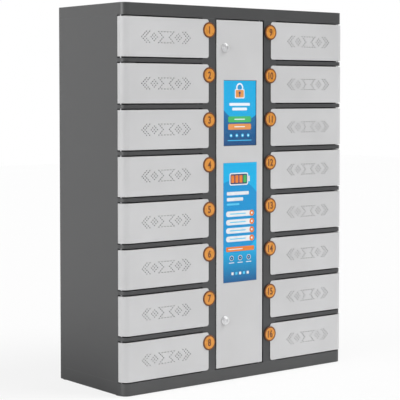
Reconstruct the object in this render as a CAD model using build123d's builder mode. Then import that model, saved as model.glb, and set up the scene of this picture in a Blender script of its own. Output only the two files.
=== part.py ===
"""Sixteen-bay charging cabinet for laptops, tablets and phones.

A free-standing sheet-steel locker, 920 wide and 1200 high. Two columns of eight small doors wrap round
the cabinet's rounded front corners and turn on pins near the sides. Between them a tall service door,
hinged on the right and held by two key locks, carries the touch screen and the information panel.

Millimetres. +Z is up, the front faces -Y, and the origin is on the floor at the middle of the overall box.
Left-hand pieces are drawn first, in distances from the left side and from the door faces, and the
right-hand ones are their mirror images.
"""

import os

from build123d import *

# overall sizes
width = 920.0
body_depth = 361.0
lock_stand_out = 11.0

# sheet and gaps
sheet = 1.2
door_proud = 2.2
door_gap = 2.5
rail_gap = 4.0
corner_radius = 26.0
fit_gap = 0.3
pin_fit = 0.05

# the base and the cap
foot_stand = 2.0
base_height = 38.6
cap_height = 37.8
ring_flange = 28.0

# bay doors
bays_per_side = 8
door_wrap = 29.3
door_lip = 25.3
door_flange = 18.0
wrap_flange = 14.0
door_height = 121.7
free_corner = 8.0
hinge_in = 7.6
hinge_back = 22.5
pin_radius = 2.0
pin_reach = 2.5
pin_head_radius = 3.5
pin_head = 1.2

# the perforated pattern on each door, on a staggered grid
grid_step = 5.8
grid_row = 5.6
vent_radius = 1.8
pattern_shift = 2.0

# number badges
badge_radius = 24.5
badge_thickness = 2.0
badge_drop = 33.4
badge_out = 2.0
badge_edge = 0.8

# front frame
rail_height = 12.0
post_width = 52.2
rail_depth = 22.0
rail_side = 16.0

# side panels and back
panel_front = 33.5
front_return = 14.0
rear_return = 20.0
screw_head = 2.0
screw_head_radius = 4.0
screw_radius = 2.0
screw_length = 8.0
screw_rows = (0, 2, 4, 5, 7)

# service door and what it carries
service_width = 192.6
service_gap = 2.5
service_hinge_gap = 6.9
service_flange = 16.0
service_hinge_in = 8.0
service_hinge_back = 7.4
window_width = 137.6
window_height = 210.6
window_drop = 295.8
window_shift = 1.7
glass_thickness = 2.4
glass_recess = 0.4
display_gap = 0.6
module_border = 14.0
module_depth = 28.0
info_width = 139.3
info_height = 385.2
info_drop = 648.0
info_thickness = 0.8
lock_in = 35.0
lock_drop = 88.2
lock_rise = 152.5
lock_flange_radius = 14.0
lock_flange = 3.0
lock_collar_radius = 11.5
lock_collar = 8.5
lock_bore = 8.0
lock_barrel_radius = 10.0
lock_barrel = 20.0
lock_nut_across = 27.0
lock_nut = 5.0
key_slot_width = 2.2
key_slot_height = 9.0
key_slot_depth = 6.0
cam_length = 40.0
cam_width = 14.0
cam_thickness = 3.0
cam_place = 23.0

# latches and strikes
latch_width = 20.2
latch_length = 54.0
latch_height = 50.0
latch_front = 24.0
strike_thickness = 2.0
strike_height = 20.0
strike_reach = 42.0
latch_slot_side = 3.0
latch_slot_beyond = 6.0
latch_wall = 2.9

# charging sockets
socket_out = 12.0
socket_length = 40.0
socket_height = 24.0
socket_gap = 23.0
port_width = 9.0
port_height = 3.2
port_depth = 7.0

# electrical parts in the centre column
supply_size = (50.0, 115.0, 215.0)
supply_place = (95.0, 260.0)
board_size = (1.6, 160.0, 220.0)
board_place = (153.0, 720.0)
board_standoff = 8.0
board_inset = 8.0
standoff_radius = 3.0
inlet_flange = (50.0, 30.0)
inlet_body = (44.0, 24.0)
inlet_flange_thickness = 1.5
inlet_depth = 25.0
inlet_height = 120.0
inlet_pin = (2.0, 4.0)
inlet_pin_pitch = 7.0

# back vents
louvre_length = 110.0
louvre_height = 6.0
louvre_pitch = 16.0
louvre_rows = 6
louvre_bays = (1, 6)

# holes in the back for fixing the cabinet to a wall
anchor_radius = 4.5
anchor_in = 60.0
anchor_bays = (0, 7)

# feet
foot_radius = 15.0
foot_stem_radius = 4.0
foot_stem = 5.0
foot_inset = 17.0

# places worked out from the sizes
left = -width / 2
front = -(body_depth + lock_stand_out) / 2 + lock_stand_out
back = front + body_depth
panel_back = back - screw_head
base_bottom = foot_stand
base_top = base_bottom + base_height
door_pitch = door_height + rail_height + 2 * rail_gap
cap_bottom = base_top + bays_per_side * door_pitch - rail_height
height = cap_bottom + cap_height
top_door_top = cap_bottom - rail_gap
opening_half = (service_gap + service_width + service_hinge_gap) / 2
service_left = service_gap - opening_half
service_middle = service_left + service_width / 2
post_end = width / 2 - opening_half
post_start = post_end - post_width
pan_end = post_start - door_gap
door_width = pan_end + door_lip
pattern_in = door_width / 2 - pattern_shift
partition_in = post_start + sheet
service_bottom = base_top + rail_gap
service_top = cap_bottom - rail_gap
window_x = service_middle + window_shift
window_centre = service_top - window_drop
info_centre = service_top - info_drop
hinge_x = left + hinge_in
hinge_y = front + hinge_back
service_hinge_x = opening_half - service_hinge_gap - service_hinge_in
service_hinge_y = front + service_hinge_back
lock_x = service_left + lock_in
SIDES = ("left", "right")

os.makedirs("parts", exist_ok=True)


def save(piece, name):
    """Labels a finished piece and writes it as parts/name.step."""
    piece.label = name
    export_step(piece, f"parts/{name}.step")


def door_top(row):
    """Height of the top edge of the door in that row, counted from 0 at the top."""
    return top_door_top - row * door_pitch


def rail_bottom(row):
    """Height of the underside of the rail below the door in that row."""
    return door_top(row) - door_height - rail_gap - rail_height


def corner_outline(inset, side_end, front_end, depth, side_depth):
    """The L-shaped plan that follows a front corner, as a sketch.

    inset is how far it lies in from the door faces, side_end and front_end how far it runs along the side
    and the front, and depth and side_depth how far in it reaches from them.
    """
    x0 = left + inset
    y0 = front + inset
    turn = corner_radius - inset
    with BuildSketch() as outline:
        with BuildLine():
            Line((x0, front + side_end), (x0, front + corner_radius))
            RadiusArc((x0, front + corner_radius), (left + corner_radius, y0), -turn)
            Polyline(
                (left + corner_radius, y0),
                (left + front_end, y0),
                (left + front_end, front + depth),
                (left + side_depth, front + depth),
                (left + side_depth, front + side_end),
                (x0, front + side_end),
            )
        make_face()
    return outline.sketch


def cabinet_outline(inset):
    """The cabinet's plan with its two rounded front corners, as a sketch."""
    half = width / 2 - inset
    y0 = front + inset
    rear = panel_back + door_proud - inset
    turn = corner_radius - inset
    with BuildSketch() as outline:
        with BuildLine():
            Line((-half + turn, y0), (half - turn, y0))
            RadiusArc((half - turn, y0), (half, y0 + turn), -turn)
            Polyline((half, y0 + turn), (half, rear), (-half, rear), (-half, y0 + turn))
            RadiusArc((-half, y0 + turn), (-half + turn, y0), -turn)
        make_face()
    return outline.sketch


def vent_places():
    """Places of one door's vent holes about the pattern's centre, as grid columns and rows."""
    places = []
    for row in range(-3, 4):
        reach = abs(row)
        frame_side = 2 + reach
        places += [(side * frame_side, row) for side in (-1, 1)]
        if reach == 3:
            places += [(column, row) for column in (-3, -1, 1, 3)]
        else:
            diamond = 2 - reach
            columns = range(8 - diamond, 9 + diamond, 2)
            places += [(side * column, row) for side in (-1, 1) for column in columns]
        for chevron in (14, 16):
            places += [(side * (chevron - reach), row) for side in (-1, 1)]
    return [(column * grid_step, row * grid_row) for column, row in places]


def bay_door(row):
    """The left-hand door of one row: a folded pan whose skin laps over the post and wraps the corner."""
    top = door_top(row)
    bottom = top - door_height
    middle = (top + bottom) / 2
    strike_out = pan_end - sheet
    with BuildPart() as door:
        with BuildSketch(Plane.XY.offset(bottom)):
            add(corner_outline(0, door_wrap, pan_end, door_flange, wrap_flange))
        extrude(amount=door_height)
        with BuildSketch(Plane.XY.offset(bottom)):
            with Locations((left + pan_end, front)):
                Rectangle(door_lip, sheet, align=(Align.MIN, Align.MIN))
        extrude(amount=door_height)
        with BuildSketch(Plane.XY.offset(bottom + sheet)):
            add(corner_outline(sheet, door_wrap + 1, pan_end - sheet, door_flange + 1, wrap_flange + 1))
        extrude(amount=door_height - 2 * sheet, mode=Mode.SUBTRACT)
        free_edges = door.edges().filter_by(Axis.Y).group_by(Axis.X)[-1]
        fillet(free_edges, free_corner)
        with BuildSketch(Plane.XY.offset(bottom)):
            with Locations((hinge_x, hinge_y)):
                Circle(pin_radius + pin_fit)
        extrude(amount=door_height, mode=Mode.SUBTRACT)
        with BuildSketch(Plane.XZ.offset(-front)):
            with Locations((left + pattern_in, middle)):
                with Locations(*vent_places()):
                    Circle(vent_radius)
        extrude(amount=-sheet, mode=Mode.SUBTRACT)
        with BuildSketch(Plane.YZ.offset(left + strike_out)):
            with Locations((front + sheet, middle)):
                Rectangle(strike_reach - sheet, strike_height, align=(Align.MIN, Align.CENTER))
            with Locations((front + strike_reach - strike_height / 2, middle)):
                Rectangle(strike_height / 2, strike_height / 2, mode=Mode.SUBTRACT)
        extrude(amount=-strike_thickness)
    return door.part


def number_badge(row):
    """The round number badge on the free edge of a left-hand door."""
    centre = door_top(row) - badge_drop
    with BuildPart() as badge:
        with BuildSketch(Plane.XZ.offset(-front)):
            with Locations((left + door_width + badge_out, centre)):
                Circle(badge_radius)
        extrude(amount=badge_thickness)
        chamfer(badge.edges().group_by(Axis.Y)[0], badge_edge)
    return badge.part


def bay_rail(row):
    """The rail below a left-hand door: a channel open to the back that follows the corner."""
    with BuildPart() as rail:
        with BuildSketch(Plane.XY.offset(rail_bottom(row))):
            add(corner_outline(door_proud, panel_front, post_start, rail_depth, rail_side))
        extrude(amount=rail_height)
        with BuildSketch(Plane.XY.offset(rail_bottom(row) + sheet)):
            inset = door_proud + sheet
            add(corner_outline(inset, panel_front + 1, post_start + 1, rail_depth + 1, rail_side + 1))
        extrude(amount=rail_height - 2 * sheet, mode=Mode.SUBTRACT)
        with BuildSketch(Plane.XY.offset(rail_bottom(row))):
            with Locations((hinge_x, hinge_y)):
                Circle(pin_radius + pin_fit)
        extrude(amount=rail_height, mode=Mode.SUBTRACT)
    return rail.part


def bay_shelf(row):
    """The shelf behind a left-hand rail: a plate with its four edges folded down."""
    shelf_left = left + door_proud + sheet
    shelf_right = left + partition_in
    shelf_front = front + rail_depth
    shelf_back = panel_back - 2 * sheet
    long = shelf_right - shelf_left
    deep = shelf_back - shelf_front
    top = rail_bottom(row) + rail_height
    with BuildPart() as shelf:
        with BuildSketch(Plane.XY.offset(top - rail_height)):
            with Locations((shelf_left, shelf_front)):
                Rectangle(long, deep, align=(Align.MIN, Align.MIN))
            with Locations((shelf_left, shelf_front)):
                Rectangle(
                    front_return,
                    panel_front + sheet + fit_gap - rail_depth,
                    align=(Align.MIN, Align.MIN),
                    mode=Mode.SUBTRACT,
                )
        extrude(amount=rail_height)
        with BuildSketch(Plane.XY.offset(top - rail_height)):
            with Locations((shelf_left + front_return + sheet, shelf_front + sheet)):
                Rectangle(long - front_return - 2 * sheet, deep - 2 * sheet, align=(Align.MIN, Align.MIN))
        extrude(amount=rail_height - sheet, mode=Mode.SUBTRACT)
    return shelf.part


def bay_latch(row):
    """The electric latch on the partition beside a left-hand bay, with a slot for the door's strike."""
    middle = door_top(row) - door_height / 2
    outer = left + partition_in
    slot_right = left + pan_end - sheet + latch_slot_side - 1
    slot_width = strike_thickness + 2 * latch_slot_side
    with BuildPart() as latch:
        with BuildSketch(Plane.XY.offset(middle - latch_height / 2)):
            with Locations((outer, front + latch_front)):
                Rectangle(latch_width, latch_length, align=(Align.MAX, Align.MIN))
        extrude(amount=latch_height)
        with BuildSketch(Plane.XY.offset(middle - strike_height / 2 - latch_wall)):
            with Locations((slot_right, front + latch_front)):
                Rectangle(
                    slot_width,
                    strike_reach - latch_front + latch_slot_beyond,
                    align=(Align.MAX, Align.MIN),
                )
        extrude(amount=strike_height + 2 * latch_wall, mode=Mode.SUBTRACT)
    return latch.part


def charging_socket(row):
    """The charging socket low on the partition at the back of a left-hand bay."""
    middle = door_top(row) - door_height / 2
    outer = left + partition_in
    socket_middle = panel_back - socket_gap - socket_length / 2
    with BuildPart() as socket:
        with BuildSketch(Plane.XY.offset(middle - socket_height / 2)):
            with Locations((outer, socket_middle)):
                Rectangle(socket_out, socket_length, align=(Align.MAX, Align.CENTER))
        extrude(amount=socket_height)
        with BuildSketch(Plane.YZ.offset(outer - socket_out)):
            with Locations((socket_middle, middle)):
                SlotOverall(port_width, port_height)
        extrude(amount=port_depth, mode=Mode.SUBTRACT)
    return socket.part


def plain_pin(x, y, bottom, top):
    """A hinge pin from bottom to top."""
    with BuildPart() as pin:
        with BuildSketch(Plane.XY.offset(bottom)):
            with Locations((x, y)):
                Circle(pin_radius)
        extrude(amount=top - bottom)
    return pin.part


def headed_pin(x, y, tip, seat, head_above):
    """A hinge pin with its tip at height tip and its head against the sheet at height seat."""
    head_end = seat + pin_head if head_above else seat - pin_head
    shank = plain_pin(x, y, min(tip, seat), max(tip, seat))
    with BuildPart() as pin:
        add(shank)
        with BuildSketch(Plane.XY.offset(min(seat, head_end))):
            with Locations((x, y)):
                Circle(pin_head_radius)
        extrude(amount=pin_head)
    return pin.part


def both_sides(pieces):
    """Left-hand pieces and their mirror images, as one group of separate solids."""
    return Compound(children=list(pieces) + [mirror(piece, about=Plane.YZ) for piece in pieces])


# the sixteen doors and their badges, numbered down the left column and then down the right
for row in range(bays_per_side):
    door = bay_door(row)
    badge = number_badge(row)
    for column, side in enumerate(SIDES):
        number = row + 1 + column * bays_per_side
        shown_door = door if side == "left" else mirror(door, about=Plane.YZ)
        shown_badge = badge if side == "left" else mirror(badge, about=Plane.YZ)
        save(shown_door, f"bay_door_{number:02d}")
        save(shown_badge, f"number_badge_{number:02d}")

# the rails, shelves, latches and sockets of both columns
inner_rows = range(bays_per_side - 1)
all_rows = range(bays_per_side)
save(both_sides([bay_rail(row) for row in inner_rows]), "bay_rails")
save(both_sides([bay_shelf(row) for row in inner_rows]), "bay_shelves")
save(both_sides([bay_latch(row) for row in all_rows]), "bay_latches")
save(both_sides([charging_socket(row) for row in all_rows]), "charging_sockets")

# the hinge pins: one through each rail, and headed ones in the cap and the base
reach = rail_gap + sheet + pin_reach
door_pins = [
    plain_pin(hinge_x, hinge_y, rail_bottom(row) - reach, rail_bottom(row) + rail_height + reach)
    for row in inner_rows
]
door_pins.append(headed_pin(hinge_x, hinge_y, door_top(0) - sheet - pin_reach, cap_bottom + sheet, True))
lowest_door = door_top(bays_per_side - 1) - door_height
door_pins.append(headed_pin(hinge_x, hinge_y, lowest_door + sheet + pin_reach, base_top - sheet, False))
service_pins = [
    headed_pin(service_hinge_x, service_hinge_y, service_top - sheet - pin_reach, cap_bottom + sheet, True),
    headed_pin(service_hinge_x, service_hinge_y, service_bottom + sheet + pin_reach, base_top - sheet, False),
]
mirrored_pins = [mirror(pin, about=Plane.YZ) for pin in door_pins]
save(Compound(children=door_pins + mirrored_pins + service_pins), "hinge_pins")

# pin holes that the cap and the base share
pin_holes = [(hinge_x, hinge_y), (-hinge_x, hinge_y), (service_hinge_x, service_hinge_y)]

# the cap: a top plate with folded skirts and a flange turned in below them
with BuildPart() as top_cap:
    with BuildSketch(Plane.XY.offset(cap_bottom)):
        add(cabinet_outline(door_proud))
    extrude(amount=cap_height)
    rim = top_cap.edges().group_by(Axis.Z)[-1]
    fillet(rim, sheet / 2)
    with BuildSketch(Plane.XY.offset(cap_bottom + sheet)):
        add(cabinet_outline(door_proud + sheet))
    extrude(amount=cap_height - 2 * sheet, mode=Mode.SUBTRACT)
    with BuildSketch(Plane.XY.offset(cap_bottom)):
        with Locations((0, (front + panel_back) / 2)):
            Rectangle(width - 2 * ring_flange - 2 * door_wrap, panel_back - front - 2 * ring_flange)
        with Locations(*pin_holes):
            Circle(pin_radius + pin_fit)
    extrude(amount=sheet, mode=Mode.SUBTRACT)
save(top_cap.part, "top_cap")

# the base: a floor plate with folded skirts and a flange turned in at the bottom for the feet
foot_places = [
    (side * (width / 2 - door_proud - foot_inset), y)
    for side in (-1, 1)
    for y in (front + corner_radius + foot_inset, panel_back - foot_inset)
]
with BuildPart() as base_plinth:
    with BuildSketch(Plane.XY.offset(base_bottom)):
        add(cabinet_outline(door_proud))
    extrude(amount=base_height)
    with BuildSketch(Plane.XY.offset(base_bottom + sheet)):
        add(cabinet_outline(door_proud + sheet))
    extrude(amount=base_height - 2 * sheet, mode=Mode.SUBTRACT)
    with BuildSketch(Plane.XY.offset(base_bottom)):
        with Locations((0, (front + panel_back) / 2)):
            Rectangle(width - 2 * ring_flange - 2 * foot_inset, panel_back - front - 2 * ring_flange)
        with Locations(*foot_places):
            Circle(foot_stem_radius + pin_fit)
    extrude(amount=sheet, mode=Mode.SUBTRACT)
    with BuildSketch(Plane.XY.offset(base_top)):
        with Locations(*pin_holes):
            Circle(pin_radius + pin_fit)
    extrude(amount=-sheet, mode=Mode.SUBTRACT)
save(base_plinth.part, "base_plinth")


def foot(x, y):
    """A round rubber foot with a stem pushed through the base's flange."""
    with BuildPart() as rubber:
        with BuildSketch(Plane.XY):
            with Locations((x, y)):
                Circle(foot_radius)
        extrude(amount=foot_stand)
        with BuildSketch(Plane.XY.offset(foot_stand)):
            with Locations((x, y)):
                Circle(foot_stem_radius)
        extrude(amount=foot_stem)
    return rubber.part


save(Compound(children=[foot(x, y) for x, y in foot_places]), "feet")

# side panels: a sheet with its front and back edges folded in, and holes for the back panel's screws
panel_bottom = base_top
panel_top = cap_bottom
screw_x = left + door_proud + rear_return / 2
screw_levels = [door_top(row) - door_height / 2 for row in screw_rows]
return_back = panel_back - sheet
with BuildPart() as side_panel_left:
    with BuildSketch(Plane.XY.offset(panel_bottom)):
        with Locations((left + door_proud, front + panel_front)):
            Rectangle(sheet, return_back - front - panel_front, align=(Align.MIN, Align.MIN))
            Rectangle(front_return, sheet, align=(Align.MIN, Align.MIN))
        with Locations((left + door_proud, return_back)):
            Rectangle(rear_return, sheet, align=(Align.MIN, Align.MAX))
    extrude(amount=panel_top - panel_bottom)
    with BuildSketch(Plane.XZ.offset(-return_back)):
        with Locations(*[(screw_x, z) for z in screw_levels]):
            Circle(screw_radius + pin_fit)
    extrude(amount=sheet, mode=Mode.SUBTRACT)
save(side_panel_left.part, "side_panel_left")
save(mirror(side_panel_left.part, about=Plane.YZ), "side_panel_right")

# partitions between the bays and the centre column
with BuildPart() as partition_left:
    with BuildSketch(Plane.XY.offset(panel_bottom)):
        with Locations((left + partition_in, front + door_proud + sheet)):
            Rectangle(sheet, return_back - front - door_proud - sheet, align=(Align.MIN, Align.MIN))
    extrude(amount=panel_top - panel_bottom)
save(partition_left.part, "partition_left")
save(mirror(partition_left.part, about=Plane.YZ), "partition_right")

# posts: channels beside the service door, open to the back
with BuildPart() as post_left:
    with BuildSketch(Plane.XY.offset(panel_bottom)):
        with Locations((left + post_start, front + door_proud)):
            Rectangle(post_end - post_start, sheet, align=(Align.MIN, Align.MIN))
            Rectangle(sheet, rail_depth - door_proud, align=(Align.MIN, Align.MIN))
        with Locations((left + post_end, front + door_proud)):
            Rectangle(sheet, rail_depth - door_proud, align=(Align.MAX, Align.MIN))
    extrude(amount=panel_top - panel_bottom)
save(post_left.part, "post_left")
save(mirror(post_left.part, about=Plane.YZ), "post_right")

# back panel: one sheet behind the side panels, with louvre slots, the inlet's cut-out and screw holes
louvre_x = (left + partition_in) / 2 + left / 2
with BuildPart() as back_panel:
    with BuildSketch(Plane.XZ.offset(-return_back)):
        with Locations((0, (panel_bottom + panel_top) / 2)):
            Rectangle(width - 2 * door_proud, panel_top - panel_bottom)
        for row in louvre_bays:
            level = door_top(row) - door_height / 2
            with Locations(*[(x, level) for x in (louvre_x, 0, -louvre_x)]):
                with GridLocations(0, louvre_pitch, 1, louvre_rows):
                    SlotOverall(louvre_length, louvre_height, mode=Mode.SUBTRACT)
        with Locations((0, inlet_height)):
            Rectangle(inlet_body[0], inlet_body[1], mode=Mode.SUBTRACT)
        with Locations(*[(side * screw_x, z) for side in (-1, 1) for z in screw_levels]):
            Circle(screw_radius + pin_fit, mode=Mode.SUBTRACT)
        for row in anchor_bays:
            level = door_top(row) - door_height / 2
            with Locations(*[(side * (width / 2 - anchor_in), level) for side in (-1, 1)]):
                Circle(anchor_radius, mode=Mode.SUBTRACT)
    extrude(amount=-sheet)
save(back_panel.part, "back_panel")


def back_screw(x, z):
    """A pan-head screw that holds the back panel to a side panel's flange."""
    with BuildPart() as screw:
        with BuildSketch(Plane.XZ.offset(-panel_back)):
            with Locations((x, z)):
                Circle(screw_head_radius)
        extrude(amount=-screw_head)
        fillet(screw.edges().group_by(Axis.Y)[-1], screw_head / 2)
        with BuildSketch(Plane.XZ.offset(-panel_back)):
            with Locations((x, z)):
                Circle(screw_radius)
        extrude(amount=screw_length)
    return screw.part


save(both_sides([back_screw(screw_x, z) for z in screw_levels]), "back_screws")

# service door: a folded pan with the screen's window, the lock holes and the hinge holes
lock_levels = {"upper": service_top - lock_drop, "lower": service_bottom + lock_rise}
with BuildPart() as service_door:
    with BuildSketch(Plane.XY.offset(service_bottom)):
        with Locations((service_middle, front)):
            Rectangle(service_width, service_flange, align=(Align.CENTER, Align.MIN))
    extrude(amount=service_top - service_bottom)
    with BuildSketch(Plane.XY.offset(service_bottom + sheet)):
        with Locations((service_middle, front + sheet)):
            Rectangle(service_width - 2 * sheet, service_flange, align=(Align.CENTER, Align.MIN))
    extrude(amount=service_top - service_bottom - 2 * sheet, mode=Mode.SUBTRACT)
    with BuildSketch(Plane.XZ.offset(-front)):
        with Locations((window_x, window_centre)):
            Rectangle(window_width, window_height)
        with Locations(*[(lock_x, z) for z in lock_levels.values()]):
            Circle(lock_barrel_radius + pin_fit)
    extrude(amount=-sheet, mode=Mode.SUBTRACT)
    with BuildSketch(Plane.XY.offset(service_bottom)):
        with Locations((service_hinge_x, service_hinge_y)):
            Circle(pin_radius + pin_fit)
    extrude(amount=service_top - service_bottom, mode=Mode.SUBTRACT)
save(service_door.part, "service_door")

# the screen: a glass plate in the window, with the display module behind it
with BuildPart() as screen_glass:
    with BuildSketch(Plane.XZ.offset(-front - glass_recess)):
        with Locations((window_x, window_centre)):
            Rectangle(window_width - fit_gap, window_height - fit_gap)
    extrude(amount=-glass_thickness)
save(screen_glass.part, "screen_glass")

module_width = window_width + 2 * module_border
module_height = window_height + 2 * module_border
with BuildPart() as screen_module:
    with BuildSketch(Plane.XZ.offset(-front - sheet)):
        with Locations((window_x, window_centre)):
            Rectangle(module_width, module_height)
    extrude(amount=-module_depth)
    fillet(screen_module.edges().filter_by(Axis.Y), sheet)
    with BuildSketch(Plane.XZ.offset(-front - sheet)):
        with Locations((window_x, window_centre)):
            Rectangle(window_width, window_height)
    extrude(amount=-(glass_recess + glass_thickness + display_gap - sheet), mode=Mode.SUBTRACT)
save(screen_module.part, "screen_module")

# the information panel: a thin plate on the door's face
with BuildPart() as info_panel:
    with BuildSketch(Plane.XZ.offset(-front)):
        with Locations((window_x, info_centre)):
            Rectangle(info_width, info_height)
    extrude(amount=info_thickness)
save(info_panel.part, "info_panel")

# key locks: a flanged barrel with a nut behind the door, and a plug that turns a cam
for name, level in lock_levels.items():
    face = Plane.XZ.offset(-front)
    with BuildPart() as barrel:
        with BuildSketch(face):
            with Locations((lock_x, level)):
                Circle(lock_flange_radius)
        extrude(amount=lock_flange)
        fillet(barrel.edges().group_by(Axis.Y)[0], lock_flange / 3)
        with BuildSketch(face):
            with Locations((lock_x, level)):
                Circle(lock_collar_radius)
        extrude(amount=lock_collar)
        fillet(barrel.edges().group_by(Axis.Y)[0], lock_flange / 3)
        with BuildSketch(face):
            with Locations((lock_x, level)):
                Circle(lock_barrel_radius)
        extrude(amount=-lock_barrel)
        with BuildSketch(Plane.XZ.offset(-front - sheet)):
            with Locations((lock_x, level)):
                RegularPolygon(lock_nut_across / 2, 6, major_radius=False)
        extrude(amount=-lock_nut)
        with BuildSketch(Plane.XZ.offset(-front + lock_stand_out)):
            with Locations((lock_x, level)):
                Circle(lock_bore)
        extrude(amount=-(lock_stand_out + lock_barrel + 1), mode=Mode.SUBTRACT)
    save(barrel.part, f"lock_barrel_{name}")

    with BuildPart() as plug:
        with BuildSketch(Plane.XZ.offset(-front + lock_stand_out)):
            with Locations((lock_x, level)):
                Circle(lock_bore - pin_fit)
        extrude(amount=-(lock_stand_out + cam_place + cam_thickness))
        fillet(plug.edges().group_by(Axis.Y)[0], lock_flange / 3)
        with BuildSketch(Plane.XZ.offset(-front + lock_stand_out)):
            with Locations((lock_x, level)):
                Rectangle(key_slot_width, key_slot_height)
        extrude(amount=-key_slot_depth, mode=Mode.SUBTRACT)
        with BuildSketch(Plane.XZ.offset(-front - cam_place)):
            with Locations((lock_x, level + cam_length / 2)):
                Rectangle(cam_width, cam_length)
            with Locations((lock_x, level)):
                Circle(cam_width / 2 + lock_bore / 2)
        extrude(amount=-cam_thickness)
    save(plug.part, f"lock_plug_{name}")

# the power supply on the left partition
column_left = left + partition_in + sheet
with BuildPart() as power_supply:
    with BuildSketch(Plane.XY.offset(supply_place[1] - supply_size[2] / 2)):
        with Locations((column_left, panel_back - supply_place[0])):
            Rectangle(supply_size[0], supply_size[1], align=(Align.MIN, Align.CENTER))
    extrude(amount=supply_size[2])
    chamfer(power_supply.edges().filter_by(Axis.Z), 1)
save(power_supply.part, "power_supply")

# the control board on four standoffs on the right partition
board_face = -column_left - board_standoff
with BuildPart() as control_board:
    with BuildSketch(Plane.YZ.offset(board_face)):
        with Locations((panel_back - board_place[0], board_place[1])):
            Rectangle(board_size[1], board_size[2])
    extrude(amount=-board_size[0])
    with BuildSketch(Plane.YZ.offset(board_face)):
        with Locations((panel_back - board_place[0], board_place[1])):
            with GridLocations(board_size[1] - 2 * board_inset, board_size[2] - 2 * board_inset, 2, 2):
                Circle(standoff_radius)
    extrude(amount=board_standoff)
    with BuildSketch(Plane.YZ.offset(board_face - board_size[0])):
        with Locations((panel_back - board_place[0], board_place[1])):
            with GridLocations(board_size[1] / 3, board_size[2] / 4, 2, 3):
                Rectangle(board_size[1] / 5, board_size[2] / 8)
    extrude(amount=-board_standoff)
save(control_board.part, "control_board")

# the mains inlet in the back panel
with BuildPart() as mains_inlet:
    with BuildSketch(Plane.XZ.offset(-panel_back)):
        with Locations((0, inlet_height)):
            Rectangle(inlet_flange[0], inlet_flange[1])
    extrude(amount=-inlet_flange_thickness)
    with BuildSketch(Plane.XZ.offset(-panel_back)):
        with Locations((0, inlet_height)):
            Rectangle(inlet_body[0] - fit_gap, inlet_body[1] - fit_gap)
    extrude(amount=inlet_depth)
    with BuildSketch(Plane.XZ.offset(-panel_back - inlet_flange_thickness)):
        with Locations((0, inlet_height)):
            Rectangle(inlet_body[0] / 2, inlet_body[1] / 1.5)
    extrude(amount=inlet_depth - inlet_flange_thickness, mode=Mode.SUBTRACT)
    with BuildSketch(Plane.XZ.offset(-panel_back + inlet_depth - inlet_flange_thickness)):
        with Locations((0, inlet_height)):
            with GridLocations(inlet_pin_pitch, 0, 3, 1):
                Rectangle(inlet_pin[0], inlet_pin[1])
    extrude(amount=-(inlet_depth - inlet_flange_thickness) * 0.7)
save(mains_inlet.part, "mains_inlet")
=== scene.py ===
import math

import bmesh
import bpy
from mathutils import Matrix, Vector


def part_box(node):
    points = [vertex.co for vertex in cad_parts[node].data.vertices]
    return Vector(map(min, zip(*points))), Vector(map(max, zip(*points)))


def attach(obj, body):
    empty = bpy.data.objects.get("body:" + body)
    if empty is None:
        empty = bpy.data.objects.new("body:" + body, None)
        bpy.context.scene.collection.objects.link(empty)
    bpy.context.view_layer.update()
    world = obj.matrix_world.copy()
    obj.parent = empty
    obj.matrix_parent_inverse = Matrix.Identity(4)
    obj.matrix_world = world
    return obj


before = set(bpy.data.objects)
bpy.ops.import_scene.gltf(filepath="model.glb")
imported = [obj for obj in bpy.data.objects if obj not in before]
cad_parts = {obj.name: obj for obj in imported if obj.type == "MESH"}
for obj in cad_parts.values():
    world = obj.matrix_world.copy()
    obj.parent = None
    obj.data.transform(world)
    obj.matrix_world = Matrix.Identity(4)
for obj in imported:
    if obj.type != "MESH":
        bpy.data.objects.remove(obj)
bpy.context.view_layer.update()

# Viewpoint: the cabinet is seen from its front left with a long lens, from three quarters of its height.
# The frame is shifted down a little, so that the upright edges stay nearly parallel.
door_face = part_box("bay_door_01")[0][1]
eye = Vector((-2.8003, door_face - 3.3382, 0.9179))
turn, tilt = math.radians(38.285), math.radians(2.739)
camera_data = bpy.data.cameras.new("viewpoint")
camera_data.lens = 121.736
camera_data.sensor_width = 36.0
camera_data.shift_y = -0.0988
camera_data.clip_end = 60.0
camera = bpy.data.objects.new("viewpoint", camera_data)
looking = Vector((math.sin(turn) * math.cos(tilt), math.cos(turn) * math.cos(tilt), -math.sin(tilt)))
camera.location = eye
camera.rotation_euler = looking.to_track_quat("-Z", "Y").to_euler()
bpy.context.scene.collection.objects.link(camera)
bpy.context.scene.camera = camera
bpy.context.scene.view_settings.view_transform = "Standard"


# Studio: a pale floor under the cabinet, two wide soft lamps far off and an even pale surround. The
# surround is white behind the cabinet, where the view and the gloss of the side see it, and grey in front.
def add_node(tree, kind, **settings):
    """One shader node with its settings and the plain values of its inputs."""
    node = tree.nodes.new(kind)
    for key, value in settings.items():
        if key in node.inputs:
            node.inputs[key].default_value = value
        else:
            setattr(node, key, value)
    return node


def spread(tree, source, low=0.0, high=1.0, to_low=0.0, to_high=1.0):
    """Maps a socket's values from low and high to to_low and to_high."""
    node = add_node(tree, "ShaderNodeMapRange")
    node.inputs["From Min"].default_value = low
    node.inputs["From Max"].default_value = high
    node.inputs["To Min"].default_value = to_low
    node.inputs["To Max"].default_value = to_high
    tree.links.new(source, node.inputs["Value"])
    return node.outputs[0]


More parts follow.
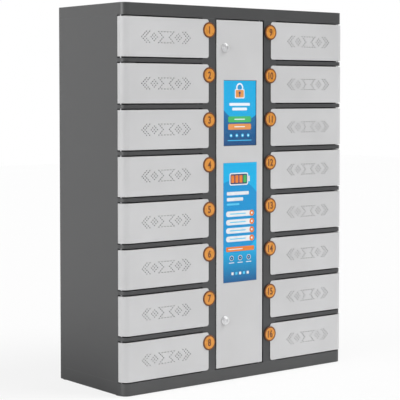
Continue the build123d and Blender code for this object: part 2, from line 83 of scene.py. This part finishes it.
white = (1.0, 1.0, 1.0, 1.0)
ambient_light = 0.46
surround_in_front = 0.36
change_from, change_to = -0.25, 0.25
world = bpy.data.worlds.new("studio")
bpy.context.scene.world = world
world.use_nodes = True
tree = world.node_tree
tree.nodes.clear()
link = tree.links.new
direction = add_node(tree, "ShaderNodeTexCoord")
split = add_node(tree, "ShaderNodeSeparateXYZ")
rays = add_node(tree, "ShaderNodeLightPath")
gloss = add_node(tree, "ShaderNodeMath", operation="MAXIMUM")
reflected = add_node(tree, "ShaderNodeMix", data_type="FLOAT")
reflected.inputs[2].default_value = ambient_light
final = add_node(tree, "ShaderNodeMix", data_type="FLOAT")
final.inputs[3].default_value = 1.0
background = add_node(tree, "ShaderNodeBackground", Color=white)
out = add_node(tree, "ShaderNodeOutputWorld")
link(direction.outputs["Generated"], split.inputs[0])
link(rays.outputs["Is Glossy Ray"], gloss.inputs[0])
link(rays.outputs["Is Transmission Ray"], gloss.inputs[1])
link(gloss.outputs[0], reflected.inputs[0])
link(spread(tree, split.outputs["Y"], change_from, change_to, surround_in_front, 1.0), reflected.inputs[3])
link(rays.outputs["Is Camera Ray"], final.inputs[0])
link(reflected.outputs[0], final.inputs[2])
link(final.outputs[0], background.inputs["Strength"])
link(background.outputs[0], out.inputs[0])

floor_reach = 12.0
floor_whitened = 0.82
floor_mesh = bpy.data.meshes.new("floor")
bm = bmesh.new()
bmesh.ops.create_grid(bm, x_segments=1, y_segments=1, size=floor_reach)
bm.to_mesh(floor_mesh)
bm.free()
floor = bpy.data.objects.new("floor", floor_mesh)
bpy.context.scene.collection.objects.link(floor)
floor_finish = bpy.data.materials.new("pale_floor")
floor_finish.use_nodes = True
tree = floor_finish.node_tree
tree.nodes.clear()
link = tree.links.new
paper = add_node(tree, "ShaderNodeBsdfDiffuse", Color=(0.92, 0.92, 0.92, 1.0))
glow = add_node(tree, "ShaderNodeEmission", Color=white, Strength=1.0)
rays = add_node(tree, "ShaderNodeLightPath")
seen_white = add_node(tree, "ShaderNodeMath", operation="MULTIPLY")
seen_white.inputs[1].default_value = floor_whitened
blend = add_node(tree, "ShaderNodeMixShader")
out = add_node(tree, "ShaderNodeOutputMaterial")
link(rays.outputs["Is Camera Ray"], seen_white.inputs[0])
link(seen_white.outputs[0], blend.inputs[0])
link(paper.outputs[0], blend.inputs[1])
link(glow.outputs[0], blend.inputs[2])
link(blend.outputs[0], out.inputs[0])
floor_mesh.materials.append(floor_finish)


def far_lamp(name, side, height, width, strength):
    """A wide lamp so far off that it lights head and foot alike, placed by angles in degrees.

    side is its angle to the right of straight ahead, height its angle above the floor and width its own
    width across the sky.
    """
    shown_at = 5.0
    data = bpy.data.lights.new(name, "SUN")
    data.energy = strength
    data.angle = math.radians(width)
    lamp = bpy.data.objects.new(name, data)
    side, height = math.radians(side), math.radians(height)
    level = math.cos(height)
    towards = Vector((math.sin(side) * level, -math.cos(side) * level, math.sin(height)))
    lamp.location = shown_at * towards
    lamp.rotation_euler = towards.to_track_quat("Z", "Y").to_euler()
    bpy.context.scene.collection.objects.link(lamp)


far_lamp("left_lamp", side=-84.0, height=12.0, width=34.0, strength=1.15)
far_lamp("right_lamp", side=52.0, height=45.0, width=40.0, strength=2.0)


# Base, cap, side panels and back: folded mild steel sheet in a dark grey powder coat with a fine texture.
# The trays are closed at their corners, and the coat is rubbed a little lighter along the folds.
def look_group(name, takes, gives):
    """A shader group with those inputs and outputs, and the nodes that stand for them inside."""
    kinds = {"Colour": "NodeSocketColor", "Edge Colour": "NodeSocketColor", "Normal": "NodeSocketVector"}
    group = bpy.data.node_groups.new(name, "ShaderNodeTree")
    for label, value in takes.items():
        kind = kinds.get(label, "NodeSocketFloat")
        group.interface.new_socket(label, in_out="INPUT", socket_type=kind).default_value = value
    for label in gives:
        kind = kinds.get(label, "NodeSocketFloat")
        group.interface.new_socket(label, in_out="OUTPUT", socket_type=kind)
    return group, add_node(group, "NodeGroupInput"), add_node(group, "NodeGroupOutput")


def add_noise(tree, place, **settings):
    """A noise over the surface, at place."""
    noise = add_node(tree, "ShaderNodeTexNoise", **settings)
    tree.links.new(place, noise.inputs["Vector"])
    return noise


def scaled_colour(tree, colour, scale):
    """A colour made lighter or darker by a socket's value."""
    tint = add_node(tree, "ShaderNodeVectorMath", operation="SCALE")
    tree.links.new(colour, tint.inputs[0])
    tree.links.new(scale, tint.inputs["Scale"])
    return tint.outputs[0]


def multiplied(tree, first, second):
    """The product of two sockets' values."""
    product = add_node(tree, "ShaderNodeMath", operation="MULTIPLY")
    tree.links.new(first, product.inputs[0])
    tree.links.new(second, product.inputs[1])
    return product.outputs[0]


def uneven_gloss(tree, roughness, noise, amount):
    """A roughness raised by up to amount where the noise is high."""
    uneven = add_node(tree, "ShaderNodeMath", operation="MULTIPLY_ADD")
    tree.links.new(noise, uneven.inputs[0])
    uneven.inputs[1].default_value = amount
    tree.links.new(roughness, uneven.inputs[2])
    return uneven.outputs[0]


def powder_coat_group():
    """The look of powder coat: slight clouding, rubbed edges, painted shade in the gaps, uneven gloss and a
    fine grain.
    """
    rubbed_radius, painted_shade_reach = 0.0012, 0.014
    grey = (0.1, 0.1, 0.1, 1.0)
    takes = {"Colour": grey, "Edge Colour": grey, "Edge Amount": 0.5, "Roughness": 0.45, "Grain Scale": 900.0}
    group, put, got = look_group("powder_coat", takes, ("Colour", "Roughness", "Height", "Normal"))
    link = group.links.new
    place = add_node(group, "ShaderNodeTexCoord").outputs["Object"]
    grain = add_noise(group, place, Detail=2.0, Roughness=0.6)
    cloud = add_noise(group, place, Scale=5.0, Detail=3.0)
    scuff = add_noise(group, place, Scale=38.0, Detail=4.0)
    link(put.outputs["Grain Scale"], grain.inputs["Scale"])
    # rubbed edges: where the normal over a small radius leaves the face's own normal
    rounded = add_node(group, "ShaderNodeBevel", samples=4, Radius=rubbed_radius)
    shape = add_node(group, "ShaderNodeNewGeometry")
    agree = add_node(group, "ShaderNodeVectorMath", operation="DOT_PRODUCT")
    link(rounded.outputs[0], agree.inputs[0])
    link(shape.outputs["Normal"], agree.inputs[1])
    edge = spread(group, agree.outputs["Value"], low=0.985, high=0.90)
    worn = multiplied(group, edge, spread(group, scuff.outputs[0], low=0.40, high=0.62))
    # clouding: a few percent lighter and darker over hand-sized patches
    shade = spread(group, cloud.outputs[0], low=0.3, high=0.7, to_low=0.965, to_high=1.035)
    mixed = add_node(group, "ShaderNodeMix", data_type="RGBA")
    link(multiplied(group, worn, put.outputs["Edge Amount"]), mixed.inputs[0])
    link(scaled_colour(group, put.outputs["Colour"], shade), mixed.inputs[6])
    link(put.outputs["Edge Colour"], mixed.inputs[7])
    # painted shade in the narrow gaps: the colour is darkened where another face is close
    near = add_node(group, "ShaderNodeAmbientOcclusion", samples=4, Distance=painted_shade_reach)
    painted_gap_shade = spread(group, near.outputs["AO"], low=0.30, high=0.66, to_low=0.06, to_high=1.0)
    link(scaled_colour(group, mixed.outputs[2], painted_gap_shade), got.inputs["Colour"])
    dulled = uneven_gloss(group, put.outputs["Roughness"], cloud.outputs[0], amount=0.10)
    link(dulled, got.inputs["Roughness"])
    link(grain.outputs[0], got.inputs["Height"])
    link(rounded.outputs[0], got.inputs["Normal"])
    return group


powder_coat = powder_coat_group()


def dressed_material(name, group, values, bump_strength, bump_depth):
    """A material whose colour, roughness and bump come from the group with those values."""
    material = bpy.data.materials.new(name)
    material.use_nodes = True
    tree = material.node_tree
    shader = tree.nodes["Principled BSDF"]
    look = add_node(tree, "ShaderNodeGroup", node_tree=group)
    for label, value in values.items():
        look.inputs[label].default_value = (*value, 1.0) if isinstance(value, tuple) else value
    bump = add_node(tree, "ShaderNodeBump", Strength=bump_strength, Distance=bump_depth)
    tree.links.new(look.outputs["Colour"], shader.inputs["Base Color"])
    tree.links.new(look.outputs["Roughness"], shader.inputs["Roughness"])
    tree.links.new(look.outputs["Height"], bump.inputs["Height"])
    if "Normal" in look.outputs:
        tree.links.new(look.outputs["Normal"], bump.inputs["Normal"])
    tree.links.new(bump.outputs["Normal"], shader.inputs["Normal"])
    return material


def coated_steel(name, colour, edge_colour, edge_amount, roughness, ior=1.5):
    """A powder-coated steel in that colour."""
    values = {
        "Colour": colour,
        "Edge Colour": edge_colour,
        "Edge Amount": edge_amount,
        "Roughness": roughness,
    }
    material = dressed_material(name, powder_coat, values, bump_strength=0.35, bump_depth=0.00006)
    material.node_tree.nodes["Principled BSDF"].inputs["IOR"].default_value = ior
    return material


def finish_node(material, *names):
    """Gives CAD pieces their finish."""
    for name in names:
        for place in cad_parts[name].material_slots:
            place.material = material


body_coat = coated_steel(
    "dark_grey_coat", (0.040, 0.041, 0.042), (0.10, 0.10, 0.105), edge_amount=0.6, roughness=0.32, ior=1.75
)
finish_node(body_coat, "base_plinth", "top_cap", "side_panel_left", "side_panel_right", "back_panel")

# Posts and rails: the front frame behind the doors, folded channels in the same dark coat, its colour made a
# shade darker as painted shade from the doors over them, and duller than the body.
frame_painted_shade_coat = coated_steel(
    "frame_painted_shade_coat", (0.036, 0.037, 0.039), (0.09, 0.09, 0.095), edge_amount=0.5, roughness=0.38, ior=1.7
)
finish_node(frame_painted_shade_coat, "post_left", "post_right", "bay_rails")

# Partitions and shelves: inner sheets in a plain grey coat, scuffed along their edges where devices slide
# in and out.
inner_coat = coated_steel(
    "inner_grey_coat", (0.25, 0.25, 0.255), (0.42, 0.42, 0.42), edge_amount=0.9, roughness=0.5
)
finish_node(inner_coat, "partition_left", "partition_right", "bay_shelves")

# Doors: folded sheet pans in a satin light grey coat. The bay doors wrap round the cabinet's corners and
# are punched with a pattern of small vent holes.
door_count = 16
door_coat = coated_steel(
    "light_grey_coat", (0.60, 0.60, 0.605), (0.78, 0.78, 0.78), edge_amount=0.8, roughness=0.34
)
finish_node(door_coat, "service_door", *[f"bay_door_{n:02d}" for n in range(1, door_count + 1)])


# Number badges: moulded glossy orange discs pressed on the doors' free edges, each with a dark brown rim
# and a printed number from 1 to 16.
def plastic_group():
    """The look of moulded plastic: faint clouding, uneven gloss and a soft skin texture."""
    takes = {"Colour": (0.5, 0.5, 0.5, 1.0), "Roughness": 0.3, "Texture Scale": 700.0}
    group, put, got = look_group("moulded_plastic", takes, ("Colour", "Roughness", "Height"))
    link = group.links.new
    place = add_node(group, "ShaderNodeTexCoord").outputs["Object"]
    skin = add_noise(group, place, Detail=2.0)
    cloud = add_noise(group, place, Scale=60.0, Detail=3.0)
    link(put.outputs["Texture Scale"], skin.inputs["Scale"])
    shade = spread(group, cloud.outputs[0], low=0.3, high=0.7, to_low=0.95, to_high=1.05)
    link(scaled_colour(group, put.outputs["Colour"], shade), got.inputs["Colour"])
    dulled = uneven_gloss(group, put.outputs["Roughness"], cloud.outputs[0], amount=0.12)
    link(dulled, got.inputs["Roughness"])
    link(skin.outputs[0], got.inputs["Height"])
    return group


moulded_plastic = plastic_group()


def plastic(name, colour, roughness, texture_scale=700.0, depth=0.00003):
    """A moulded or printed plastic in that colour."""
    values = {"Colour": colour, "Roughness": roughness, "Texture Scale": texture_scale}
    return dressed_material(name, moulded_plastic, values, bump_strength=0.3, bump_depth=depth)


badge_orange = plastic("badge_orange", (0.73, 0.29, 0.040), roughness=0.22)
badge_brown = plastic("badge_brown", (0.17, 0.052, 0.012), roughness=0.30)
edge_brown = (0.15, 0.045, 0.010, 1.0)
# the disc is brown all the way round its edge: where a face doesn't look straight ahead
tree = badge_orange.node_tree
link = tree.links.new
faces = add_node(tree, "ShaderNodeTexCoord")
ahead = add_node(tree, "ShaderNodeSeparateXYZ")
edged = add_node(tree, "ShaderNodeMix", data_type="RGBA")
edged.inputs[7].default_value = edge_brown
look = next(node for node in tree.nodes if node.type == "GROUP")
link(faces.outputs["Normal"], ahead.inputs[0])
link(spread(tree, ahead.outputs["Y"], low=-0.95, high=-0.80), edged.inputs[0])
link(look.outputs["Colour"], edged.inputs[6])
link(edged.outputs[2], tree.nodes["Principled BSDF"].inputs["Base Color"])
finish_node(badge_orange, *[f"number_badge_{n:02d}" for n in range(1, door_count + 1)])
rim_outer, rim_inner, rim_steps = 0.0236, 0.0200, 48
digit_size, digit_width, digit_bold, digit_smoothness = 0.031, 0.82, 0.0008, 4
print_height = 0.0003


def finished_piece(name, bm, body, slot, *materials):
    """Makes the piece from its bmesh, which is freed, and rides it on its body."""
    mesh = bpy.data.meshes.new(name)
    bm.to_mesh(mesh)
    bm.free()
    for material in materials:
        mesh.materials.append(material)
    piece = bpy.data.objects.new(name, mesh)
    bpy.context.scene.collection.objects.link(piece)
    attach(piece, body)


def facing_front(x, y, z):
    """Turns a flat shape drawn in XY so that it faces the front, with its origin at x, y, z."""
    return Matrix.Translation((x, y, z)) @ Matrix.Rotation(math.radians(90), 4, "X")


def middle_of(name):
    """A node's lowest and highest corners and its middle."""
    low, high = (Vector(corner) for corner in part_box(name))
    return low, high, (low + high) / 2


def printed_digits(number):
    """The number as a thin flat print, centred on the origin."""
    words = bpy.data.curves.new("digits", "FONT")
    words.body = str(number)
    words.size = digit_size
    words.extrude = print_height / 2
    words.offset = digit_bold
    words.resolution_u = digit_smoothness
    holder = bpy.data.objects.new("digits", words)
    bpy.context.scene.collection.objects.link(holder)
    bpy.context.view_layer.update()
    printed = bpy.data.meshes.new_from_object(holder)
    bpy.data.objects.remove(holder)
    bpy.data.curves.remove(words)
    bm = bmesh.new()
    bm.from_mesh(printed)
    bpy.data.meshes.remove(printed)
    across = [v.co.x for v in bm.verts]
    upward = [v.co.y for v in bm.verts]
    aside, above = (min(across) + max(across)) / 2, (min(upward) + max(upward)) / 2
    bmesh.ops.translate(bm, verts=bm.verts[:], vec=(-aside, -above, print_height / 2))
    bmesh.ops.scale(bm, verts=bm.verts[:], vec=(digit_width, 1.0, 1.0))
    return bm


def printed_rim():
    """The badge's brown rim as a thin flat ring round the origin."""
    ring = bmesh.new()
    corners = ((rim_inner, 0.0), (rim_outer, 0.0), (rim_outer, print_height), (rim_inner, print_height))
    section = [ring.verts.new((radius, 0.0, rise)) for radius, rise in corners]
    edges = [ring.edges.new((section[i - 1], section[i])) for i in range(len(section))]
    bmesh.ops.spin(
        ring,
        geom=section + edges,
        cent=(0, 0, 0),
        axis=(0, 0, 1),
        angle=math.tau,
        steps=rim_steps,
        use_merge=True,
    )
    bmesh.ops.remove_doubles(ring, verts=ring.verts[:], dist=1e-6)
    bmesh.ops.recalc_face_normals(ring, faces=ring.faces[:])
    mesh = bpy.data.meshes.new("rim")
    ring.to_mesh(mesh)
    ring.free()
    return mesh


rim = printed_rim()
for number in range(1, door_count + 1):
    low, high, centre = middle_of(f"number_badge_{number:02d}")
    bm = printed_digits(number)
    bm.from_mesh(rim)
    bmesh.ops.transform(bm, matrix=facing_front(centre.x, low.y, centre.z), verts=bm.verts[:])
    finished_piece(f"badge_print_{number:02d}", bm, f"door_{number:02d}", "badge_plastic", badge_brown)
bpy.data.meshes.remove(rim)


# Key locks: a chromed barrel with a flange and a nut, and a satin steel plug with a key slot that turns
# the cam behind the service door.
def metal_group():
    """The look of worked metal: fine turning marks in the gloss and faint staining in the colour."""
    drawn_out = (1.0, 1.0, 0.08)
    takes = {"Colour": (0.7, 0.7, 0.7, 1.0), "Roughness": 0.2, "Mark Scale": 900.0}
    group, put, got = look_group("worked_metal", takes, ("Colour", "Roughness", "Height"))
    link = group.links.new
    place = add_node(group, "ShaderNodeTexCoord").outputs["Object"]
    stretch = add_node(group, "ShaderNodeMapping", Scale=drawn_out)
    link(place, stretch.inputs["Vector"])
    marks = add_noise(group, stretch.outputs[0], Detail=3.0)
    stain = add_noise(group, place, Scale=90.0, Detail=3.0)
    link(put.outputs["Mark Scale"], marks.inputs["Scale"])
    shade = spread(group, stain.outputs[0], to_low=0.96, to_high=1.04)
    link(scaled_colour(group, put.outputs["Colour"], shade), got.inputs["Colour"])
    dulled = uneven_gloss(group, put.outputs["Roughness"], marks.outputs[0], amount=0.14)
    link(dulled, got.inputs["Roughness"])
    link(marks.outputs[0], got.inputs["Height"])
    return group


worked_metal = metal_group()


def metal(name, colour, roughness, mark_scale, depth):
    """A bare or plated metal in that colour."""
    values = {"Colour": colour, "Roughness": roughness, "Mark Scale": mark_scale}
    material = dressed_material(name, worked_metal, values, bump_strength=0.2, bump_depth=depth)
    material.node_tree.nodes["Principled BSDF"].inputs["Metallic"].default_value = 1.0
    return material


chrome = metal("lock_chrome", (0.88, 0.88, 0.89), roughness=0.26, mark_scale=700.0, depth=0.000006)
lock_steel = metal("lock_steel", (0.86, 0.86, 0.87), roughness=0.34, mark_scale=1100.0, depth=0.00001)
finish_node(chrome, "lock_barrel_upper", "lock_barrel_lower")
finish_node(lock_steel, "lock_plug_upper", "lock_plug_lower")

# Pins and screws: zinc-plated steel, a little dull.
plated = metal("zinc_plate", (0.60, 0.60, 0.61), roughness=0.30, mark_scale=500.0, depth=0.00002)
finish_node(plated, "hinge_pins", "back_screws")

# Latches, sockets, inlet and the screen's casing: black moulded plastic with a fine spark texture.
black = plastic(
    "black_moulding", (0.018, 0.018, 0.019), roughness=0.42, texture_scale=900.0, depth=0.00006
)
finish_node(black, "bay_latches", "charging_sockets", "mains_inlet", "screen_module")

# Power supply: a folded case of plain aluminium sheet on the left partition.
case_sheet = metal("case_sheet", (0.68, 0.68, 0.69), roughness=0.35, mark_scale=260.0, depth=0.00002)
finish_node(case_sheet, "power_supply")

# Control board: a green lacquered board with its parts, on standoffs on the right partition.
board_green = plastic(
    "board_lacquer", (0.015, 0.13, 0.05), roughness=0.25, texture_scale=1500.0, depth=0.00002
)
finish_node(board_green, "control_board")

# Feet: four black rubber pads pushed through the base's flange.
rubber = plastic("foot_rubber", (0.022, 0.022, 0.022), roughness=0.65, texture_scale=500.0, depth=0.00008)
finish_node(rubber, "feet")


# Information panel: a thin plate printed in sky blue over deep blue with a large disc of a third blue, and
# with white, orange, green and dark motifs. It is fixed on the service door with adhesive film.
def two_tone_print(name, low, high, colours, disc_centre, disc_radius, shines):
    """A picture ground: a foot colour blended upwards into a head colour, with a disc of a third.

    It is lit from behind if it shines. low and high are the levels that the blend lies between.
    """
    material = bpy.data.materials.new(name)
    material.use_nodes = True
    tree = material.node_tree
    link = tree.links.new
    shader = tree.nodes["Principled BSDF"]
    foot_colour, head_colour, disc_colour = ((*colour, 1.0) for colour in colours)
    disc_edge = 0.0006
    place = add_node(tree, "ShaderNodeTexCoord").outputs["Object"]
    parts = add_node(tree, "ShaderNodeSeparateXYZ")
    ground = add_node(tree, "ShaderNodeMix", data_type="RGBA")
    ground.inputs[6].default_value = foot_colour
    ground.inputs[7].default_value = head_colour
    link(place, parts.inputs[0])
    link(spread(tree, parts.outputs["Z"], low, high), ground.inputs[0])
    # the disc: inside its radius from its centre, as seen from the front
    centred = add_node(tree, "ShaderNodeMapping")
    centred.inputs["Location"].default_value = (-disc_centre[0], 0.0, -disc_centre[1])
    flat = add_node(tree, "ShaderNodeVectorMath", operation="MULTIPLY")
    flat.inputs[1].default_value = (1.0, 0.0, 1.0)
    away = add_node(tree, "ShaderNodeVectorMath", operation="LENGTH")
    picture = add_node(tree, "ShaderNodeMix", data_type="RGBA")
    picture.inputs[7].default_value = disc_colour
    link(place, centred.inputs["Vector"])
    link(centred.outputs[0], flat.inputs[0])
    link(flat.outputs[0], away.inputs[0])
    inside = spread(tree, away.outputs["Value"], disc_radius + disc_edge, disc_radius - disc_edge)
    link(inside, picture.inputs[0])
    link(ground.outputs[2], picture.inputs[6])
    grain = add_noise(tree, place, Scale=1400.0, Detail=1.0)
    link(spread(tree, grain.outputs[0], to_low=0.22, to_high=0.36), shader.inputs["Roughness"])
    if shines:
        link(picture.outputs[2], shader.inputs["Emission Color"])
        shader.inputs["Emission Strength"].default_value = 1.0
        shader.inputs["Base Color"].default_value = (*dark_cells, 1.0)
    else:
        link(picture.outputs[2], shader.inputs["Base Color"])
    return material


def add_slab(bm, x, z, wide, tall, corner, thickness, ink_number):
    """A thin rectangle with rounded corners, drawn about x and z of the panel's middle."""
    made = bmesh.ops.create_cube(bm, size=1.0)["verts"]
    bmesh.ops.scale(bm, verts=made, vec=(wide, tall, thickness))
    bmesh.ops.translate(bm, verts=made, vec=(x, z, thickness / 2))
    faces = {f for v in made for f in v.link_faces}
    if corner:
        sides = {e for v in made for e in v.link_edges}
        upright = [e for e in sides if abs(e.verts[0].co.z - e.verts[1].co.z) > thickness / 2]
        rounded = bmesh.ops.bevel(
            bm, geom=upright, offset=corner, segments=6, profile=0.5, affect="EDGES", material=-1
        )
        faces = {f for f in faces if f.is_valid} | set(rounded["faces"])
        faces |= {f for v in rounded["verts"] for f in v.link_faces}
    for f in faces:
        f.material_index = ink_number


def add_round(bm, x, z, radius, thickness, ink_number):
    """A thin disc, drawn about x and z of the panel's middle."""
    sides = 40
    made = bmesh.ops.create_cone(
        bm, cap_ends=True, segments=sides, radius1=radius, radius2=radius, depth=thickness
    )["verts"]
    bmesh.ops.translate(bm, verts=made, vec=(x, z, thickness / 2))
    for f in {f for v in made for f in v.link_faces}:
        f.material_index = ink_number


dark_cells = (0.01, 0.01, 0.012)
deep_blue_foot = 0.12
low, high, centre = middle_of("info_panel")
panel_print = two_tone_print(
    "panel_print",
    low.z,
    low.z + deep_blue_foot,
    ((0.0, 0.10, 0.29), (0.0, 0.45, 0.82), (0.0, 0.30, 0.66)),
    (centre.x - 0.022, centre.z + 0.02),
    0.118,
    shines=False,
)
finish_node(panel_print, "info_panel")
panel_inks = [
    plastic("ink_white", (0.82, 0.84, 0.86), roughness=0.3),
    plastic("ink_orange", (0.82, 0.22, 0.03), roughness=0.3),
    plastic("ink_green", (0.05, 0.45, 0.10), roughness=0.3),
    plastic("ink_navy", (0.008, 0.045, 0.16), roughness=0.3),
    plastic("ink_sky", (0.10, 0.60, 0.90), roughness=0.3),
]
white_ink, orange_ink, green_ink, navy_ink, sky_ink = range(len(panel_inks))
ink = 0.00008
bm = bmesh.new()
# a battery with four cells, three of them orange and one green
battery_x, battery_level, cell_pitch = -0.006, 0.140, 0.017
add_slab(bm, battery_x, battery_level, 0.078, 0.040, 0.007, ink, white_ink)
add_slab(bm, battery_x + 0.043, battery_level, 0.006, 0.018, 0.002, ink, white_ink)
add_slab(bm, battery_x, battery_level, 0.070, 0.032, 0.004, 2 * ink, navy_ink)
for cell, colour in enumerate((orange_ink, orange_ink, orange_ink, green_ink)):
    x = battery_x + (cell - 1.5) * cell_pitch
    add_slab(bm, x, battery_level, 0.013, 0.024, 0.002, 3 * ink, colour)
# two heading bars and a short one, all from the same left margin
margin = -0.056
for level, wide, tall, corner, colour in (
    (0.094, 0.092, 0.011, 0.003, white_ink),
    (0.075, 0.068, 0.011, 0.003, white_ink),
    (0.059, 0.052, 0.006, 0.002, sky_ink),
):
    add_slab(bm, margin + wide / 2, level, wide, tall, corner, ink, colour)
# four white strips, each with a printed line and an orange dot at its right end
strip_wide, strip_pitch, dot_x = 0.118, 0.027, 0.049
for step in range(4):
    level = 0.028 - step * strip_pitch
    add_slab(bm, 0.0, level, strip_wide, 0.018, 0.0088, ink, white_ink)
    add_slab(bm, -0.010, level, 0.066, 0.003, 0.001, 2 * ink, sky_ink)
    add_round(bm, dot_x, level, 0.0098, 2 * ink, orange_ink)
    add_round(bm, dot_x, level, 0.0036, 3 * ink, white_ink)
# an orange strip, and three small rings over short bars
note_level, ring_level, ring_pitch = -0.086, -0.115, 0.036
add_slab(bm, 0.0, note_level, strip_wide, 0.015, 0.004, ink, orange_ink)
add_slab(bm, -0.020, note_level, 0.060, 0.003, 0.001, 2 * ink, white_ink)
for step in range(3):
    x = (step - 1) * ring_pitch
    add_round(bm, x, ring_level, 0.0085, ink, white_ink)
    add_round(bm, x, ring_level, 0.0068, 2 * ink, navy_ink)
    add_round(bm, x, ring_level, 0.0026, 3 * ink, sky_ink)
    add_slab(bm, x, ring_level - 0.015, 0.022, 0.0024, 0.001, ink, white_ink)
# a row of small squares along the foot
square, square_pitch, square_level = 0.009, 0.016, -0.165
for step in range(5):
    colour = sky_ink if step % 2 else white_ink
    add_slab(bm, (step - 2) * square_pitch, square_level, square, square, 0.002, ink, colour)
bmesh.ops.transform(bm, matrix=facing_front(centre.x, low.y, centre.z), verts=bm.verts[:])
finished_piece("panel_motifs", bm, "service_door_body", "printed_panel", *panel_inks)

# Touch screen: a clear cover glass in the door's window over a lit display that shows a plain picture in
# the panel's colours: a padlock, two heading bars, a green and an orange button, and a row of dots.
glass = bpy.data.materials.new("cover_glass")
glass.use_nodes = True
tree = glass.node_tree
shader = tree.nodes["Principled BSDF"]
shader.inputs["Transmission Weight"].default_value = 1.0
shader.inputs["IOR"].default_value = 1.2
shader.inputs["Base Color"].default_value = (0.98, 0.99, 1.0, 1.0)
smear = add_noise(tree, add_node(tree, "ShaderNodeTexCoord").outputs["Object"], Scale=18.0, Detail=3.0)
tree.links.new(spread(tree, smear.outputs[0], to_high=0.05), shader.inputs["Roughness"])
finish_node(glass, "screen_glass")


def lit(name, colour):
    """One colour of the lit display over dark cells, with a faint pixel grain."""
    material = plastic(name, dark_cells, roughness=0.5, texture_scale=1800.0)
    shader = material.node_tree.nodes["Principled BSDF"]
    shader.inputs["Emission Color"].default_value = (*colour, 1.0)
    shader.inputs["Emission Strength"].default_value = 1.0
    return material


low, high, centre = middle_of("screen_glass")
lit_width, lit_height = 0.1354, 0.2080
lit_thickness = 0.00005
behind_glass = 0.0005
display_colours = [
    two_tone_print(
        "display_ground",
        centre.z - lit_height / 2,
        centre.z,
        ((0.0, 0.06, 0.20), (0.0, 0.15, 0.38), (0.0, 0.41, 0.76)),
        (centre.x + 0.01, centre.z + 0.075),
        0.100,
        shines=True,
    ),
    lit("lit_white", (0.86, 0.90, 0.94)),
    lit("lit_orange", (0.78, 0.30, 0.07)),
    lit("lit_green", (0.06, 0.48, 0.13)),
    lit("lit_sky", (0.05, 0.55, 0.88)),
    lit("lit_navy", (0.006, 0.04, 0.14)),
    lit("lit_blue", (0.01, 0.30, 0.62)),
]
ground_lit, white_lit, orange_lit, green_lit, sky_lit, navy_lit, blue_lit = range(len(display_colours))
bm = bmesh.new()
add_slab(bm, 0.0, 0.0, lit_width, lit_height, 0.0, lit_thickness, ground_lit)
# a padlock: a white shackle round a blue opening, and an orange case with a keyhole
shackle_level, case_level, keyhole_level = 0.082, 0.062, 0.065
add_slab(bm, 0.0, case_level, 0.040, 0.030, 0.004, 2 * ink, white_lit)
add_round(bm, 0.0, shackle_level, 0.0145, 1.5 * ink, white_lit)
add_round(bm, 0.0, shackle_level, 0.0095, 2 * ink, blue_lit)
add_slab(bm, 0.0, case_level, 0.034, 0.024, 0.003, 3 * ink, orange_lit)
add_round(bm, 0.0, keyhole_level, 0.0042, 4 * ink, navy_lit)
add_slab(bm, 0.0, keyhole_level - 0.007, 0.0034, 0.010, 0.001, 4 * ink, navy_lit)
# two heading bars
for level, wide in ((0.028, 0.086), (0.013, 0.062)):
    add_slab(bm, 0.0, level, wide, 0.009, 0.003, 2 * ink, white_lit)
# a green and an orange button, each with a short bar
for level, colour in ((-0.020, green_lit), (-0.044, orange_lit)):
    add_slab(bm, 0.0, level, 0.096, 0.019, 0.005, 2 * ink, colour)
    add_slab(bm, 0.0, level, 0.044, 0.003, 0.001, 3 * ink, white_lit)
# four dots over a line
dot_pitch, dot_level = 0.024, -0.072
for step in range(4):
    x = (step - 1.5) * dot_pitch
    add_round(bm, x, dot_level, 0.0055, 2 * ink, sky_lit)
    add_round(bm, x, dot_level, 0.0022, 3 * ink, white_lit)
add_slab(bm, 0.0, dot_level - 0.016, 0.100, 0.0026, 0.001, 2 * ink, sky_lit)
bmesh.ops.transform(bm, matrix=facing_front(centre.x, high.y + behind_glass, centre.z), verts=bm.verts[:])
finished_piece("display_picture", bm, "service_door_body", "printed_panel", *display_colours)
